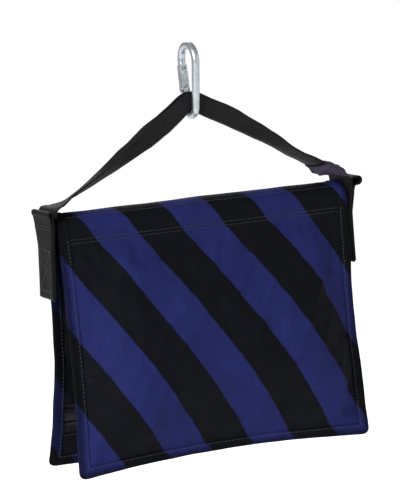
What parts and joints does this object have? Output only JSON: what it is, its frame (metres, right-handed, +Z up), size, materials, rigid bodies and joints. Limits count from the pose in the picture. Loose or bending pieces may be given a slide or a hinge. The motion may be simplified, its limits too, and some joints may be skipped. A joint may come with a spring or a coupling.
{
  "type": "saddle sandbag",
  "caption": "Striped saddle sandbag with two zipped sand pouches, a webbing carrying handle and a plated snap hook for hanging it as a counterweight.",
  "frame": {"origin": "on the axis of the saddle arch, half way along the fold", "axes": "+X along the fold, -Y towards the front pouch's striped face, +Z up through the handle and snap hook"},
  "size_m": [0.3328, 0.1104, 0.4066],
  "materials": {
    "striped_cloth": "woven polyester, blue and black diagonal stripes, slight sheen",
    "black_cloth": "plain woven polyester, matt",
    "webbing": "ribbed black webbing",
    "binding": "woven edge tape",
    "thread": "bonded sewing thread",
    "zip_tape": "knitted zipper tape",
    "zip_coil": "moulded nylon coil",
    "zip_metal": "black enamelled die casting",
    "plated_steel": "bright zinc plate with a pale blue tint",
    "spring_steel": "drawn wire",
    "liner": "heat-sealed film",
    "sand": "dry washed sand"
  },
  "bodies": {
    "saddle": {"saddle_panel": "striped_cloth", "saddle_reinforcement": "webbing"},
    "handle": {"handle_webbing": "webbing"},
    "left_tab": {"handle_tab_left": "webbing", "tab_stitching_left": "thread"},
    "right_tab": {"handle_tab_right": "webbing", "tab_stitching_right": "thread"},
    "carabiner": {"carabiner_body": "plated_steel", "gate_rivet": "plated_steel"},
    "gate": {"carabiner_gate": "plated_steel", "gate_nose_pin": "plated_steel", "gate_spring": "spring_steel", "gate_plunger": "spring_steel"},
    "front_pouch": {"front_face_panel": "striped_cloth", "front_back_panel_upper": "black_cloth", "front_back_panel_lower": "black_cloth", "front_edge_binding": "binding", "front_zipper_tape_upper": "zip_tape", "front_zipper_tape_lower": "zip_tape", "front_zipper_coil_upper": "zip_coil", "front_zipper_coil_lower": "zip_coil", "front_zipper_stops": "zip_metal", "front_liner_bag": "liner", "front_sand_fill": "sand"},
    "rear_pouch": {"rear_face_panel": "striped_cloth", "rear_back_panel_upper": "black_cloth", "rear_back_panel_lower": "black_cloth", "rear_edge_binding": "binding", "rear_zipper_tape_upper": "zip_tape", "rear_zipper_tape_lower": "zip_tape", "rear_zipper_coil_upper": "zip_coil", "rear_zipper_coil_lower": "zip_coil", "rear_zipper_stops": "zip_metal", "rear_liner_bag": "liner", "rear_sand_fill": "sand"},
    "front_slider": {"front_zipper_slider": "zip_metal"},
    "front_puller": {"front_zipper_puller": "zip_metal"},
    "rear_slider": {"rear_zipper_slider": "zip_metal"},
    "rear_puller": {"rear_zipper_puller": "zip_metal"}
  },
  "joints": [
    {"name": "front_pouch_swing", "type": "hinge", "parent": "saddle", "child": "front_pouch", "pos_m": [0, -0.0165, 0], "axis": [1, 0, 0], "range_deg": [-86, 4]},
    {"name": "rear_pouch_swing", "type": "hinge", "parent": "saddle", "child": "rear_pouch", "pos_m": [0, 0.0165, 0], "axis": [1, 0, 0], "range_deg": [-4, 86]},
    {"name": "handle_swing", "type": "hinge", "parent": "saddle", "child": "handle", "pos_m": [0, 0, 0.018], "axis": [1, 0, 0], "range_deg": [-45, 45], "stiffness_Nm_per_rad": 0.6},
    {"name": "left_tab_flip", "type": "hinge", "parent": "saddle", "child": "left_tab", "pos_m": [-0.1632, 0, 0.019], "axis": [0, 1, 0], "range_deg": [0, 95]},
    {"name": "right_tab_flip", "type": "hinge", "parent": "saddle", "child": "right_tab", "pos_m": [0.1632, 0, 0.019], "axis": [0, -1, 0], "range_deg": [0, 95]},
    {"name": "carabiner_swing", "type": "hinge", "parent": "handle", "child": "carabiner", "pos_m": [0, 0, 0.09775], "axis": [0, 1, 0], "range_deg": [-35, 35], "stiffness_Nm_per_rad": 0.1},
    {"name": "gate_swing", "type": "hinge", "parent": "carabiner", "child": "gate", "pos_m": [0, 0.0121, 0.12256], "axis": [1, 0, 0], "range_deg": [0, 26], "stiffness_Nm_per_rad": 0.05},
    {"name": "front_slider_slide", "type": "slide", "parent": "front_pouch", "child": "front_slider", "axis": [-1, 0, 0], "range_m": [0, 0.236]},
    {"name": "front_puller_flip", "type": "hinge", "parent": "front_slider", "child": "front_puller", "pos_m": [0.118, -0.02565, -0.18983], "axis": [0, -0.0715, -0.9974], "range_deg": [0, 150]},
    {"name": "rear_slider_slide", "type": "slide", "parent": "rear_pouch", "child": "rear_slider", "axis": [1, 0, 0], "range_m": [0, 0.236]},
    {"name": "rear_puller_flip", "type": "hinge", "parent": "rear_slider", "child": "rear_puller", "pos_m": [-0.118, 0.02565, -0.18983], "axis": [0, 0.0715, -0.9974], "range_deg": [0, 150]}
  ]
}
